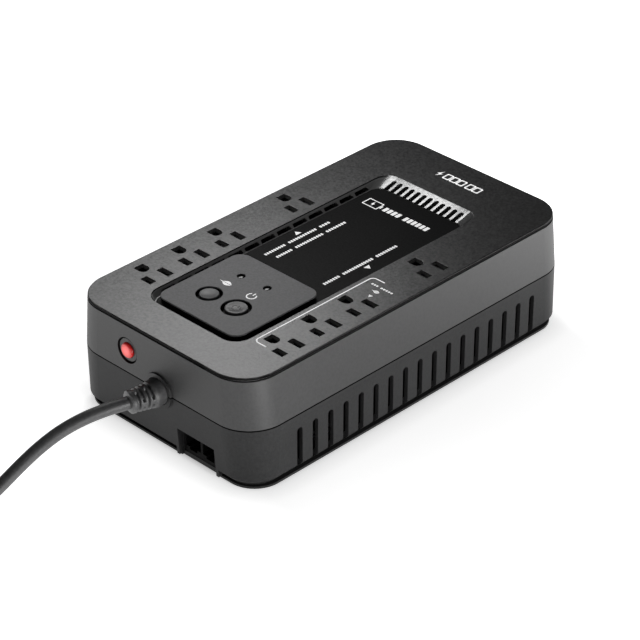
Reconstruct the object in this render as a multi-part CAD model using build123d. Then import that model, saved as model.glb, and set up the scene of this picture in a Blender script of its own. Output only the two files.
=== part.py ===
"""Desktop uninterruptible power supply: a flat two-part plastic case with eight outlets on its deck,
a control pad, a resettable breaker, a jack pair, a battery behind a door underneath and a mains cord.

Millimetres. +X is the reader's right, +Y points to the end where the cord leaves, +Z is up.
The origin is the bottom centre of the case, on the surface that it stands on.
"""
from build123d import *
import math
import os

os.makedirs("parts", exist_ok=True)

# ---- case -----------------------------------------------------------------------------------
TOP_Z = 72.0            # deck surface
SEAM_Z = 39.4           # parting line between the shells
SEAM_GAP = 0.35         # shadow line at the seam
WALL = 2.5
DECK_W, DECK_L, DECK_R = 139.6, 261.1, 22.0
SEAM_W, SEAM_L, SEAM_R = 146.2, 262.3, 23.5
FOOT_W, FOOT_L, FOOT_R = 145.2, 257.0, 18.5
RIM_W, RIM_L, RIM_R = 142.9, 253.4, 18.0
RIM_Z0, RIM_Z1 = 0.6, 2.0      # thin rim round the base
UNDERCUT_Z = 6.5               # where the lower wall turns in above the rim
UNDERCUT = 4.0
FLOOR_Z = 3.4                  # inside face of the base
CORNER_FOOT = 27.0             # how far a corner foot runs along each side
EDGE_Z = 70.7                  # underside of the deck's edge, above the reveal groove
SHELL_TOP_Z = 69.5
REVEAL = 1.5                   # depth of the reveal groove
DECK_UNDER_Z = 69.4
STRIP_Z = 66.8          # underside of the vented slopes
DECK_EDGE_R = 0.7
MICRO_R = 0.3           # small rounding on moulded edges
BELOW_Z = 60.0          # cuts through the deck start here, well under it

# ---- side vents -----------------------------------------------------------------------------
VENT_COUNT, VENT_PITCH, VENT_Y0 = 17, 11.87, 93.3
VENT_W, VENT_Z0, VENT_Z1 = 4.2, 3.6, 30.5

# ---- recess in the deck ---------------------------------------------------------------------
REC_X0, REC_X1, REC_Y0, REC_Y1 = -36.6, 38.4, -90.6, 105.2      # outline at the deck surface
REC_R_CORD_END, REC_R_FAR = 11.0, 9.0
SILL_X0, SILL_X1, SILL_Y0, SILL_Y1 = -36.2, 34.3, -78.7, 104.9  # outline at the foot of the slopes
SILL_R_CORD_END, SILL_R_FAR = 9.0, 7.6
SILL_Z = 69.15                       # narrow sill round the label, a little above it
LEDGE = 0.55                         # width of that sill
LABEL_Z = 69.0
TRAY_T = 2.2
SLIT_COUNT, SLIT_PITCH, SLIT_L, SLIT_Y0 = 13, 12.83, 10.8, 88.4
SLIT_TOP_Z, SLIT_R, SLIT_POCKET_Z = 70.7, 1.0, 70.0
SLIT_WALL = 2.8                      # thickness of the slope's wall in front of the pocket
GRILLE_COUNT, GRILLE_PITCH, GRILLE_X0 = 12, 4.9, 27.9
GRILLE_SLOT_W, GRILLE_TOP_Y, GRILLE_TIE_Z = 3.1, -87.3, 68.0

# ---- control pad ----------------------------------------------------------------------------
PAD_X0, PAD_X1, PAD_Y0, PAD_Y1 = -31.9, 33.4, 34.8, 100.6
PAD_Z0, PAD_Z1 = 71.5, 72.3
PAD_R = 7.5
PLINTH_INSET = 0.25                  # black plinth shows as a thin ring under the pad
ECO_XY, ECO_HOLE_D, ECO_CAP_D = (12.7, 78.8), 15.6, 11.5
POWER_XY, POWER_HOLE_D, POWER_CAP_D = (-8.8, 78.5), 17.6, 13.2
CAP_Z = 72.5
DISH_R, DISH_DEPTH = 28.0, 0.45      # dished top of a cap
BUTTON_WELL_Z = 69.3                 # floor of the well under a cap
BUTTON_TRAVEL = 0.8
STEM_D = 5.0
PLUNGER_D = 3.4
LEDS = {"eco": (13.6, 53.4), "power": (-6.2, 52.2)}
LED_WELL_D, LED_PIPE_D, LED_PIPE_Z = 5.2, 4.4, 71.2

# ---- outlets --------------------------------------------------------------------------------
BLADE_HALF_GAP = 6.35
GROUND_OFFSET = 11.9
OUTLET_ROWS = {"left": (47.9, (86.2, 58.0, 29.8, -26.0)), "right": (-58.1, (86.7, 58.4, 30.1, -26.5))}
LEAD_IN_W, NEUTRAL_LEAD, LINE_LEAD = 4.4, 9.6, 8.0
GROUND_LEAD_W, GROUND_LEAD_L = 6.6, 7.8
SLOT_W, NEUTRAL_L, LINE_L = 2.2, 8.6, 7.0
GROUND_W, GROUND_L = 5.6, 6.2
BLOCK_Z0, BLOCK_FACE_T = 47.0, 2.0

# ---- near end: breaker, cord entry, jacks ----------------------------------------------------
BREAKER_X, BREAKER_Z = 23.6, 53.8
BREAKER_HOLE_D, BREAKER_NECK_D, RESET_D = 16.0, 14.8, 9.2
BREAKER_FACE_Y = 130.2
RESET_PROUD = 1.8                    # how far the button stands out of the breaker's face
CORD_X = -1.8
BOSS_R, BOSS_BORE_R, BOSS_Y = 10.75, 8.4, 132.3
COLLAR_R = 8.0
BOOT_TIP_Y = 158.0
JACK_X0, JACK_X1, JACK_Z1, JACK_Y = -43.5, -14.0, 19.5, 125.6

# ---- mains cord -----------------------------------------------------------------------------
CORD_D = 7.5
COIL_X, COIL_Y = 14.0, 344.0
COIL_MEAN_D, COIL_H, COIL_BAND = 84.0, 15.0, 22.5
CORD_ROUTE = [
    (CORD_X, 136.0, 39.4), (0.2, 149.0, 39.6), (4.6, 162.0, 39.2), (9.4, 175.0, 37.2), (14.0, 187.5, 33.0),
    (17.8, 199.5, 26.8), (20.6, 211.5, 19.4), (22.2, 224.0, 12.0), (22.6, 236.5, 6.6), (20.2, 249.0, 3.9),
    (15.2, 260.8, 3.75), (8.2, 272.0, 3.75), (-1.0, 281.6, 3.75), (-11.2, 290.2, 3.75),
    (-20.4, 299.8, 3.75), (-27.8, 312.0, 3.75), (-33.0, 326.5, 3.75), (-35.3, 342.0, 3.75),
]
CORD_END_ROUTE = [(63.4, 341.0, 11.25), (63.7, 327.0, 11.3), (64.6, 313.0, 11.6)]
PLUG_Y, PLUG_Z = 313.0, 11.6       # where the cord enters the plug
PLUG_BODY_L, PLUG_TAIL_L = 26.0, 14.0
BLADE_T, BLADE_W, BLADE_L = 1.5, 6.35, 17.5
PIN_D, PIN_L = 4.8, 20.6
TIE_ANGLE, TIE_T, TIE_W = 62.0, 0.8, 9.0

# ---- inside ---------------------------------------------------------------------------------
BATTERY = (-36.5, 33.5, -92.0, 103.0, 3.5, 50.5)
DOOR = (-41.0, 38.0, -108.0, 107.0)     # pocket that the battery door slides in
DOOR_TRAVEL = 12.0
OPENING = (-37.5, 34.5, -93.0, 104.0)   # the battery goes in through this
BOARD_Z, BOARD_T = 53.0, 1.6
PANEL_BOARD_Z = 62.4


def span(x0, x1, y0, y1, z0, z1):
    """Box between two corners."""
    return Pos((x0 + x1) / 2, (y0 + y1) / 2, (z0 + z1) / 2) * Box(x1 - x0, y1 - y0, z1 - z0)


def post(x, y, z0, z1, d):
    """Upright cylinder."""
    return Pos(x, y, (z0 + z1) / 2) * Cylinder(d / 2, z1 - z0)


def along_y(x, z, y0, y1, d):
    """Cylinder whose axis runs along Y."""
    return Pos(x, (y0 + y1) / 2, z) * Rot(90, 0, 0) * Cylinder(d / 2, y1 - y0)


def slab(w, l, r, z0, z1, x=0.0, y=0.0):
    """Plate with rounded corners."""
    return Pos(x, y, z0) * extrude(RectangleRounded(w, l, r), z1 - z0)


def case_size(z, inset=0.0):
    """Width, length and corner radius of the case's outside at a height."""
    if z >= SEAM_Z:
        t = (z - SEAM_Z) / (TOP_Z - SEAM_Z)
        high, low = (DECK_W, DECK_L, DECK_R), (SEAM_W, SEAM_L, SEAM_R)
    else:
        t = z / SEAM_Z
        high, low = (SEAM_W, SEAM_L, SEAM_R), (FOOT_W, FOOT_L, FOOT_R)
    w, l, r = (a + (b - a) * t for a, b in zip(low, high))
    return w - 2 * inset, l - 2 * inset, max(r - inset, 1.0)


def case_body(z0, z1, inset0=0.0, inset1=None):
    """Solid of the case's outside, or of a skin inside it, between two heights."""
    inset1 = inset0 if inset1 is None else inset1
    sections = [Pos(0, 0, z) * RectangleRounded(*case_size(z, i)) for z, i in ((z0, inset0), (z1, inset1))]
    return loft(sections)


def save(name, *solids):
    """Write one node; several solids become one group."""
    shape = solids[0] if len(solids) == 1 else Compound(children=list(solids))
    export_step(shape, f"parts/{name}.step")


def outlets():
    """Every outlet as side, slot-line x and centre y."""
    for side, (x, ys) in OUTLET_ROWS.items():
        for y in ys:
            yield side, x, y


def ground_shape(x, y, w, l, z0, z1):
    """U-shaped ground hole, rounded towards the blades."""
    straight = l - w / 2
    flat_x = x + l / 2
    square = span(flat_x - straight, flat_x, y - w / 2, y + w / 2, z0, z1)
    return square + post(flat_x - straight, y, z0, z1, w)


# ---- the deck and the recess -----------------------------------------------------------------
def recess_outline(x0, x1, y0, y1, r_cord_end, r_far, z):
    """Rounded outline whose two far corners have a radius of their own."""
    sketch = Pos((x0 + x1) / 2, (y0 + y1) / 2, z) * Rectangle(x1 - x0, y1 - y0)
    sketch = fillet(sketch.vertices().group_by(Axis.Y)[0], r_far)
    return fillet(sketch.vertices().group_by(Axis.Y)[-1], r_cord_end)


def recess_cut():
    """Everything that the recess takes out of the deck: sloping sides above a straight well."""
    mouth = (REC_X0, REC_X1, REC_Y0, REC_Y1, REC_R_CORD_END, REC_R_FAR)
    sill = (SILL_X0, SILL_X1, SILL_Y0, SILL_Y1, SILL_R_CORD_END, SILL_R_FAR)
    slopes = loft([recess_outline(*sill, SILL_Z), recess_outline(*mouth, TOP_Z)], ruled=True)
    above = extrude(recess_outline(*mouth, TOP_Z), 1.0)
    return slopes + above + extrude(well_outline(0.0, BELOW_Z), SILL_Z - BELOW_Z + 0.1)


def well_outline(grow, z):
    """Outline of the opening that the black tray fills, made larger or smaller."""
    inset = LEDGE - grow
    return recess_outline(SILL_X0 + inset, SILL_X1 - inset, SILL_Y0 + inset, SILL_Y1 - inset,
                          SILL_R_CORD_END - inset, SILL_R_FAR - inset, z)


def slit_cuts():
    """Vents in the long slope: round-topped slits that open into a pocket behind the wall."""
    cuts = []
    for i in range(SLIT_COUNT):
        y = SLIT_Y0 - i * SLIT_PITCH
        y0, y1 = y - SLIT_L / 2, y + SLIT_L / 2
        face = Rot(0, 90, 0) * RectangleRounded(2 * (SLIT_TOP_Z - BELOW_Z), SLIT_L, SLIT_R)
        cuts.append(Pos(SILL_X1 + 0.1, y, BELOW_Z) * extrude(face, SLIT_WALL))
        cuts.append(span(SILL_X1 + SLIT_WALL, REC_X1 + 2, y0, y1, BELOW_Z, SLIT_POCKET_Z))
    return cuts


def grille_cuts():
    """Vents in the far slope: slots with a round top that run down to the label."""
    cuts = []
    for i in range(GRILLE_COUNT):
        x = GRILLE_X0 - i * GRILLE_PITCH
        half = GRILLE_SLOT_W / 2
        round_y = GRILLE_TOP_Y + half
        cuts.append(post(x, round_y, BELOW_Z, TOP_Z + 1, GRILLE_SLOT_W))
        cuts.append(span(x - half, x + half, round_y, SILL_Y0 + LEDGE + 0.1, GRILLE_TIE_Z, TOP_Z + 1))
        cuts.append(span(x - half, x + half, round_y, SILL_Y0 - 1.2, BELOW_Z, TOP_Z + 1))
    return cuts


def outlet_openings(z0, z1):
    """Lead-in openings of the eight outlets."""
    cuts = []
    for _, x, y in outlets():
        cuts.append(Pos(x, y - BLADE_HALF_GAP, (z0 + z1) / 2) * Box(NEUTRAL_LEAD, LEAD_IN_W, z1 - z0))
        cuts.append(Pos(x, y + BLADE_HALF_GAP, (z0 + z1) / 2) * Box(LINE_LEAD, LEAD_IN_W, z1 - z0))
        cuts.append(ground_shape(x + GROUND_OFFSET, y, GROUND_LEAD_W, GROUND_LEAD_L, z0, z1))
    return cuts


def top_panel():
    """Deck plate with the recess, its vents and the outlet openings."""
    plate = slab(DECK_W, DECK_L, DECK_R, EDGE_Z, TOP_Z)
    plate = fillet(plate.edges().group_by(Axis.Z)[-1], DECK_EDGE_R)
    plug_w, plug_l, plug_r = DECK_W - 2 * REVEAL, DECK_L - 2 * REVEAL, DECK_R - REVEAL
    plug = slab(plug_w, plug_l, plug_r, 66.6, EDGE_Z)
    under = slab(plug_w - 3.2, plug_l - 3.2, plug_r - 1.6, BELOW_Z, DECK_UNDER_Z)
    rim_x0, rim_x1, rim_y0, rim_y1 = REC_X0 - 3, REC_X1 + 2, REC_Y0 - 2, REC_Y1 + 3
    surround = span(rim_x0, rim_x1, rim_y0, rim_y1, STRIP_Z, DECK_UNDER_Z + 0.2)
    relief = span(rim_x0 - 1, SILL_X1, SILL_Y0 + 2, rim_y1 + 1, BELOW_Z, LABEL_Z)
    body = plate + (plug - under) + (surround - relief) - recess_cut()
    body = body - slit_cuts() - grille_cuts() - outlet_openings(66, TOP_Z + 1)
    rims = [edge for wire in body.faces().sort_by(Axis.Z)[-1].inner_wires() for edge in wire.edges()]
    return fillet(rims, MICRO_R)


BOARD_POSTS = [(x, y) for x in (-29.0, 29.0) for y in (-70.0, 20.0)]
PANEL_POSTS = [(x, y) for x in (-26.0, 28.0) for y in (42.0, 95.0)]


def pad_plate(inset, z0, z1):
    """Plate with the outline of the control pad, or a little smaller."""
    w, l = PAD_X1 - PAD_X0 - 2 * inset, PAD_Y1 - PAD_Y0 - 2 * inset
    return slab(w, l, PAD_R - inset, z0, z1, (PAD_X0 + PAD_X1) / 2, (PAD_Y0 + PAD_Y1) / 2)


def centre_tray():
    """Black floor of the recess, with the plinth under the control pad and the board posts."""
    floor = extrude(well_outline(-0.2, LABEL_Z - TRAY_T), TRAY_T)
    tray = floor + pad_plate(PLINTH_INSET, LABEL_Z - 0.5, PAD_Z0)
    for x, y in BOARD_POSTS:
        tray += post(x, y, BOARD_Z + BOARD_T, LABEL_Z - 1, 7.0)
    for x, y in PANEL_POSTS:
        tray += post(x, y, PANEL_BOARD_Z + BOARD_T, LABEL_Z - 1, 6.0)
    for x, y in BOARD_POSTS:
        tray -= post(x, y, BOARD_Z, 62.0, 2.6)
    for x, y in PANEL_POSTS:
        tray -= post(x, y, PANEL_BOARD_Z, 67.6, 2.0)
    for xy, hole_d in ((ECO_XY, ECO_HOLE_D), (POWER_XY, POWER_HOLE_D)):
        tray -= post(*xy, BUTTON_WELL_Z, PAD_Z1, hole_d - 0.4)
        tray -= post(*xy, BELOW_Z, PAD_Z1, STEM_D + 0.6)
    for x, y in LEDS.values():
        tray -= post(x, y, BELOW_Z, PAD_Z1, LED_PIPE_D + 0.1)
    return tray


def control_pad():
    """Grey plate with the button and lamp openings."""
    pad = pad_plate(0.0, PAD_Z0, PAD_Z1)
    pad = fillet(pad.edges().group_by(Axis.Z)[-1], 0.4)
    pad -= post(*ECO_XY, 60, 80, ECO_HOLE_D)
    pad -= post(*POWER_XY, 60, 80, POWER_HOLE_D)
    for x, y in LEDS.values():
        pad -= post(x, y, 60, 80, LED_WELL_D)
    return pad


def button(xy, cap_d):
    """Cap with a dished top, a guide flange and a stem that ends on the switch plunger."""
    x, y = xy
    under_z = BUTTON_WELL_Z + BUTTON_TRAVEL + 0.2
    cap = post(x, y, under_z, CAP_Z, cap_d)
    cap = fillet(cap.edges().group_by(Axis.Z)[-1], 0.6)
    cap -= Pos(x, y, CAP_Z + DISH_R - DISH_DEPTH) * Sphere(DISH_R)
    return cap + post(x, y, 67.4, under_z + 0.2, STEM_D)


def plunger(xy):
    """Moving plunger of the switch under a button."""
    return post(*xy, 65.3, 67.4, PLUNGER_D)


def switch_housing(xy):
    """Fixed square housing of a push switch."""
    x, y = xy
    z0 = PANEL_BOARD_Z + BOARD_T
    return span(x - 3, x + 3, y - 3, y + 3, z0, z0 + 2.6) - post(x, y, z0 + 0.3, z0 + 4, PLUNGER_D + 0.3)


# ---- the shells ------------------------------------------------------------------------------
def boss_ring():
    """Round boss about the cord entry, shared by both shells."""
    return along_y(CORD_X, SEAM_Z, 124.0, BOSS_Y, 2 * BOSS_R)


def upper_shell():
    """Side wall between the deck and the seam."""
    z0 = SEAM_Z + SEAM_GAP / 2
    skin = case_body(z0, SHELL_TOP_Z)
    skin = fillet(skin.edges().group_by(Axis.Z)[0], MICRO_R)
    body = skin - case_body(z0 - 1, 66.3, WALL)
    plug = slab(DECK_W - 2 * REVEAL + 0.2, DECK_L - 2 * REVEAL + 0.2, DECK_R - REVEAL, 66.6, TOP_Z)
    window = slab(DECK_W - 2 * REVEAL - 3, DECK_L - 2 * REVEAL - 3, DECK_R - REVEAL - 1.5, 60, TOP_Z)
    body = body - plug - window
    upper_half = span(-40, 40, 100, 140, z0, 60)
    body += (boss_ring() & upper_half) - case_body(SEAM_Z - 2, 60, WALL)
    body -= along_y(CORD_X, SEAM_Z, 110, 140, 2 * BOSS_BORE_R)
    body -= along_y(BREAKER_X, BREAKER_Z, 110, 140, BREAKER_HOLE_D)
    return body


def vents():
    """Tall slots with round tops along both sides of the lower case."""
    cuts = []
    for i in range(VENT_COUNT):
        y = VENT_Y0 - i * VENT_PITCH
        top = VENT_Z1 - VENT_W / 2
        cuts.append(span(-80, 80, y - VENT_W / 2, y + VENT_W / 2, VENT_Z0, top))
        cuts.append(Pos(0, y, top) * Rot(0, 90, 0) * Cylinder(VENT_W / 2, 160))
    return cuts


KEYHOLES = [(x, 62.0) for x in (-55.0, 55.0)]
CASE_SCREWS = [(x, y) for x in (-57.0, 57.0) for y in (-104.0, 104.0)]
PAD_FEET = [(x, y) for x in (-61.0, 61.0) for y in (-116.0, 116.0)]


def keyhole(x, y):
    """Hanging slot: a round entry and a narrower neck."""
    neck = span(x - 2.2, x + 2.2, y - 6, y + 5, -1, 10) + post(x, y + 5, -1, 10, 4.4)
    return neck + post(x, y - 6, -1, 10, 9.0)


def lower_case():
    """Tub with an undercut foot, side vents, jack pocket, battery opening and hanging slots."""
    z1 = SEAM_Z - SEAM_GAP / 2
    outside = case_body(UNDERCUT_Z, z1)
    outside = fillet(outside.edges().group_by(Axis.Z)[-1], MICRO_R)
    outside += case_body(RIM_Z1 - 0.1, UNDERCUT_Z, UNDERCUT, 0.0)
    outside += slab(RIM_W, RIM_L, RIM_R, RIM_Z0, RIM_Z1)
    corners = [
        Pos(sx * FOOT_W / 2, sy * FOOT_L / 2, 4) * Box(2 * CORNER_FOOT, 2 * CORNER_FOOT, 12)
        for sx in (-1, 1) for sy in (-1, 1)
    ]
    outside += case_body(RIM_Z0, UNDERCUT_Z + 0.1) & corners
    inside = case_body(UNDERCUT_Z + 2, z1 + 1, WALL)
    inside += case_body(FLOOR_Z, UNDERCUT_Z + 2, UNDERCUT + WALL, WALL)
    body = outside - inside
    jack_frame = span(JACK_X0 - 2, JACK_X1 + 2, JACK_Y - 3, 129, RIM_Z0 + 1, JACK_Z1 + 2)
    body += jack_frame & case_body(RIM_Z0, SEAM_Z)
    body += (boss_ring() & span(-40, 40, 100, 140, 20, z1)) - inside
    for x, y in CASE_SCREWS:
        body += post(x, y, FLOOR_Z - 1, z1 - 1, 8.0)
    body -= span(JACK_X0, JACK_X1, JACK_Y, 140, -1, JACK_Z1)
    body -= span(JACK_X0 + 0.5, JACK_X1 - 0.5, JACK_Y - 10, 140, FLOOR_Z, JACK_Z1 - 0.5)
    body -= along_y(CORD_X, SEAM_Z, 110, 140, 2 * BOSS_BORE_R)
    body -= span(*OPENING, -1, 10)
    body -= span(*DOOR, -1, RIM_Z1 + 0.2)
    for x, y in CASE_SCREWS:
        body -= post(x, y, -1, 3.4, 7.0)
        body -= post(x, y, 3, z1, 3.4)
    for x, y in PAD_FEET:
        body -= post(x, y, -1, 1.6, 12.0)
    for x, y in KEYHOLES:
        body -= keyhole(x, y)
    return body - vents()


def battery_door():
    """Sliding cover under the battery, with grip ridges."""
    x0, x1, y0, y1 = (DOOR[0] + 0.4, DOOR[1] - 0.4, DOOR[2] + DOOR_TRAVEL + 0.5, DOOR[3] - 0.4)
    door = span(x0, x1, y0, y1, RIM_Z0 + 0.1, RIM_Z1)
    grips = [span(-14, 11, y, y + 1.6, 0, RIM_Z0 + 0.5) for y in (-70.0, -66.0, -62.0, -58.0, -54.0)]
    for grip in grips:
        door -= grip
    return door


# ---- outlets inside --------------------------------------------------------------------------
def block_box(side):
    """X range of the outlet block on a side."""
    return (41.7, 66.6) if side == "left" else (-66.6, -39.6)


def outlet_block(side):
    """Black moulded block under a row of outlets, open below, with the real slots in its face."""
    x0, x1 = block_box(side)
    y0, y1 = -42.0, 103.0
    block = span(x0, x1, y0, y1, BLOCK_Z0 + 2, DECK_UNDER_Z)
    block -= span(x0 + 1.4, x1 - 1.4, y0 + 1.4, y1 - 1.4, BLOCK_Z0, BLOCK_Z0 + 4.6)
    slot_x, ys = OUTLET_ROWS[side]
    for y in ys:
        block -= span(x0 + 1.4, x1 - 1.4, y - 12.6, y + 12.6, BLOCK_Z0, DECK_UNDER_Z - BLOCK_FACE_T)
        block -= Pos(slot_x, y - BLADE_HALF_GAP, 65) * Box(NEUTRAL_L, SLOT_W, 20)
        block -= Pos(slot_x, y + BLADE_HALF_GAP, 65) * Box(LINE_L, SLOT_W, 20)
        block -= ground_shape(slot_x + GROUND_OFFSET, y, GROUND_W, GROUND_L, 60, 75)
    return block


def outlet_base(side):
    """Plate that closes an outlet block from below."""
    x0, x1 = block_box(side)
    return span(x0, x1, -42.0, 103.0, BLOCK_Z0, BLOCK_Z0 + 2)


def clip(x0, x1, y, z0, z1):
    """Two leaves that grip a blade."""
    leaves = [span(x0, x1, y + s * 1.3 - 0.3, y + s * 1.3 + 0.3, z0, z1) for s in (-1, 1)]
    return leaves[0] + leaves[1] + span(x0, x1, y - 1.6, y + 1.6, z0, z0 + 0.8)


def contact_strips(side):
    """Neutral, line and ground strips: a bus bar along the row with a clip under every slot."""
    slot_x, ys = OUTLET_ROWS[side]
    z0 = BLOCK_Z0 + 2.3
    kinds = {"neutral": (slot_x, -BLADE_HALF_GAP, -1), "line": (slot_x, BLADE_HALF_GAP, 1),
             "ground": (slot_x + GROUND_OFFSET, 0.0, 1)}
    for kind, (cx, dy, bar_side) in kinds.items():
        bar_in, bar_out = cx + bar_side * 3.7, cx + bar_side * 4.5
        strip = span(*sorted((bar_in, bar_out)), min(ys) + dy - 1.6, max(ys) + dy + 1.6, z0, z0 + 2.0)
        for y in ys:
            strip += clip(cx - 3.2, cx + 3.2, y + dy, z0, z0 + 11)
            strip += span(*sorted((cx, bar_out)), y + dy - 1.6, y + dy + 1.6, z0, z0 + 0.8)
        yield kind, strip


# ---- electronics -----------------------------------------------------------------------------
def main_board():
    board = span(-33.0, 33.0, -88.0, 26.0, BOARD_Z, BOARD_Z + BOARD_T)
    for x, y in BOARD_POSTS:
        board -= post(x, y, 50, 60, 3.2)
    return board


def control_board():
    board = span(-30.0, 32.0, 37.0, 99.0, PANEL_BOARD_Z, PANEL_BOARD_Z + BOARD_T)
    for x, y in PANEL_POSTS:
        board -= post(x, y, 60, 66, 2.6)
    return board


def relays():
    return [span(x, x + 15.0, -8.0, 11.0, BOARD_Z + BOARD_T, 65.6) for x in (-24.0, -6.0, 12.0)]


def capacitors():
    top = BOARD_Z + BOARD_T
    return [Pos(x, -22.0, top + 5.3) * Rot(90, 0, 0) * Cylinder(5.0, 18.0) for x in (-21.0, -9.0, 3.0)]


def heat_sink():
    top = BOARD_Z + BOARD_T
    sink = span(-25, 25, -60, -57.5, top, top + 11)
    for i in range(9):
        x = -24.0 + i * 6.0
        sink += span(x - 0.6, x + 0.6, -57.6, -49.0, top, top + 11)
    return sink


def transistors():
    top = BOARD_Z + BOARD_T
    return [span(x, x + 10, -64.7, -60.2, top + 1, top + 10) for x in (-24.0, -10.0, 4.0)]


def surge_discs():
    top = BOARD_Z + BOARD_T
    return [Pos(x, 17.0, top + 5.6) * Rot(90, 0, 0) * Cylinder(5.2, 4.0) for x in (-16.0, -2.0, 12.0)]


def choke():
    return Pos(18, -32, BOARD_Z + BOARD_T + 3.4) * (Cylinder(9.0, 6.4) - Cylinder(4.2, 8))


def transformer_core():
    """E-I stack: three legs and two yokes."""
    core = span(-33, 33, -118, -102, 5.2, 60.2)
    for sx in (-1, 1):
        core -= span(*sorted((sx * 11.0, sx * 22.0)), -120, -100, 16.2, 49.2)
    return core


def transformer_windings():
    coil = slab(43.4, 30.4, 6.0, 16.4, 49.0, 0, -110)
    return coil - span(-11.1, 11.1, -118.1, -101.9, 10, 60)


def transformer_bracket():
    strap = span(-34.7, 34.7, -117.5, -102.5, 3.6, 61.8) - span(-33.1, 33.1, -120, -100, 3, 60.3)
    feet = span(-42.7, -33.2, -117.5, -102.5, 3.6, 5.0) + span(33.2, 42.7, -117.5, -102.5, 3.6, 5.0)
    return strap + feet - post(-39.4, -110, 0, 10, 3.6) - post(39.4, -110, 0, 10, 3.6)


def battery_case():
    x0, x1, y0, y1, z0, z1 = BATTERY
    body = span(x0, x1, y0, y1, z0, z1)
    return fillet(body.edges(), 1.5)


def battery_tabs():
    x1 = BATTERY[1]
    return [span(x1, x1 + 5.6, y - 2.4, y + 2.4, 40.0, 40.8) for y in (-82.0, -66.0)]


def screw(x, y, head_z0, head_z1, tip_z, head_d, shank_d):
    """Pan-head screw driven upwards."""
    return post(x, y, head_z0, head_z1, head_d) + post(x, y, head_z1, tip_z, shank_d)


def ribbon_cable():
    """Flat cable from the main board up to the control board."""
    x0, x1, t = 4.0, 20.0, 0.8
    low, mid, high = BOARD_Z + BOARD_T, 58.2, PANEL_BOARD_Z
    ribbon = span(x0, x1, 22.6, 22.6 + t, low, mid + t) + span(x0, x1, 22.6, 41.4, mid, mid + t)
    return ribbon + span(x0, x1, 41.4 - t, 41.4, mid, high)


BOARD_TOP = BOARD_Z + BOARD_T
LEAD_D = 2.4
LEADS = {
    "battery_lead_red": [(39.2, -66, 40.4), (43.5, -66, 41.6), (45.0, -66, 48.0), (41.5, -65, 55.0),
                         (35.0, -63, 58.6), (29.0, -62, 58.2), (29.0, -62, BOARD_TOP)],
    "battery_lead_black": [(39.2, -82, 40.4), (43.5, -82, 41.6), (45.0, -82, 48.0), (41.5, -82, 55.2),
                           (35.0, -82, 58.8), (28.0, -82, 58.2), (28.0, -82, BOARD_TOP)],
    "line_lead": [(0.6, 124.3, 39.4), (0.8, 116.5, 40.6), (1.4, 109.5, 47.0), (3.4, 103.6, 54.0),
                  (8.5, 100.8, 56.2), (15.7, 100.5, 56.2)],
    "neutral_lead": [(-4.2, 124.3, 39.4), (-4.4, 116.5, 40.6), (-5.0, 109.5, 47.0), (-6.4, 102.0, 54.4),
                     (-8.0, 88.0, 57.4), (-9.2, 66.0, 57.0), (-9.6, 44.0, 57.8), (-9.0, 24.2, 58.4),
                     (-9.0, 24.2, BOARD_TOP)],
}


# ---- breaker and jacks -----------------------------------------------------------------------
def breaker_body():
    body = span(BREAKER_X - 8.5, BREAKER_X + 8.5, 105, 126.4, BREAKER_Z - 8.5, BREAKER_Z + 8.5)
    neck = along_y(BREAKER_X, BREAKER_Z, 126.0, BREAKER_FACE_Y, BREAKER_NECK_D)
    body += fillet(neck.edges().group_by(Axis.Y)[-1], 0.8)
    return body - along_y(BREAKER_X, BREAKER_Z, 116.0, 140.0, RESET_D + 0.3)


def reset_button():
    button_y1 = BREAKER_FACE_Y + RESET_PROUD
    stub = along_y(BREAKER_X, BREAKER_Z, 118.0, button_y1, RESET_D)
    return fillet(stub.edges().group_by(Axis.Y)[-1], 1.4)


def breaker_tabs():
    return [span(x - 3.1, x + 3.1, 97.0, 105.0, BREAKER_Z + 2.0, BREAKER_Z + 2.8)
            for x in (BREAKER_X - 4.6, BREAKER_X + 4.6)]


JACK_PORTS = [(JACK_X0 + 8.0, 11.0), (JACK_X1 - 8.0, 11.0)]


def jack_module():
    """Twin modular jack; each port has a latch notch below."""
    body = span(JACK_X0 + 0.7, JACK_X1 - 0.7, 109.0, JACK_Y - 0.2, FLOOR_Z + 0.2, JACK_Z1 - 0.7)
    for x, z in JACK_PORTS:
        body -= span(x - 5.9, x + 5.9, 112.0, JACK_Y + 1, z - 3.4, z + 4.2)
        body -= span(x - 3.1, x + 3.1, 113.0, JACK_Y + 1, z - 5.2, z)
    return body


def jack_contacts():
    """Eight spring wires in each port."""
    wires = []
    for x, z in JACK_PORTS:
        for i in range(8):
            wx = x + (i - 3.5) * 1.02
            wires.append(span(wx - 0.2, wx + 0.2, 112.2, 121.5, z + 2.9, z + 3.3))
    return wires


# ---- cord ------------------------------------------------------------------------------------
def strain_relief():
    """Collar in the boss, an inner flange and a tapering ribbed boot."""
    flange = along_y(CORD_X, SEAM_Z, 124.4, 127.4, 2 * BOSS_BORE_R + 3.2)
    collar = along_y(CORD_X, SEAM_Z, 127.0, 133.0, 2 * COLLAR_R)
    body = flange + collar
    ribs, pitch, root_r, tip_r = 6, 4.0, 7.2, 5.4
    body += along_y(CORD_X, SEAM_Z, 133.0, BOOT_TIP_Y, CORD_D + 1.6)
    for i in range(ribs):
        y = 134.2 + i * pitch
        r = root_r + (tip_r - root_r) * i / (ribs - 1)
        body += along_y(CORD_X, SEAM_Z, y, y + 2.6, 2 * r)
    return body - along_y(CORD_X, SEAM_Z, 110, 170, CORD_D)


def corner_radii(points):
    """Arc at each inner point: 0.45 of the shorter run over the tangent of half the turn."""
    vectors = [Vector(*p) for p in points]
    radii = []
    for a, b, c in zip(vectors, vectors[1:], vectors[2:]):
        turn = math.radians((b - a).get_angle(c - b))
        radii.append(0.45 * min((b - a).length, (c - b).length) / math.tan(turn / 2))
    return radii


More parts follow.
